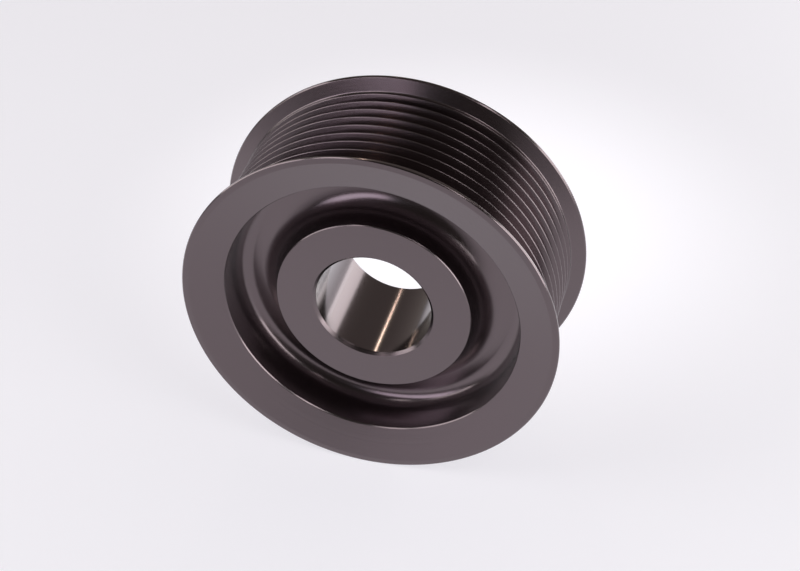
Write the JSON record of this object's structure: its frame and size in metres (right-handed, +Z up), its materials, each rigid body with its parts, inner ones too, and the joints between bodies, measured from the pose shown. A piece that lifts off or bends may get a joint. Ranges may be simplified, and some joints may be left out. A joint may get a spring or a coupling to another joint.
{
  "type": "supercharger pulley",
  "caption": "Flanged V-ribbed belt pulley that drives a supercharger: turned aluminium, black anodised, with a plain bore, a raised hub and a ring-shaped recess round it.",
  "frame": {"origin": "on the shaft axis, halfway between the two rims", "axes": "+Y along the shaft axis from the dished front face to the rear face, +Z up, +X to the right seen from the front"},
  "size_m": [0.0968, 0.037, 0.0968],
  "materials": {
    "black_anodised_aluminium": "black hard anodised, fine turned, satin"
  },
  "bodies": {
    "root": {"pulley": "black_anodised_aluminium"}
  },
  "joints": []
}
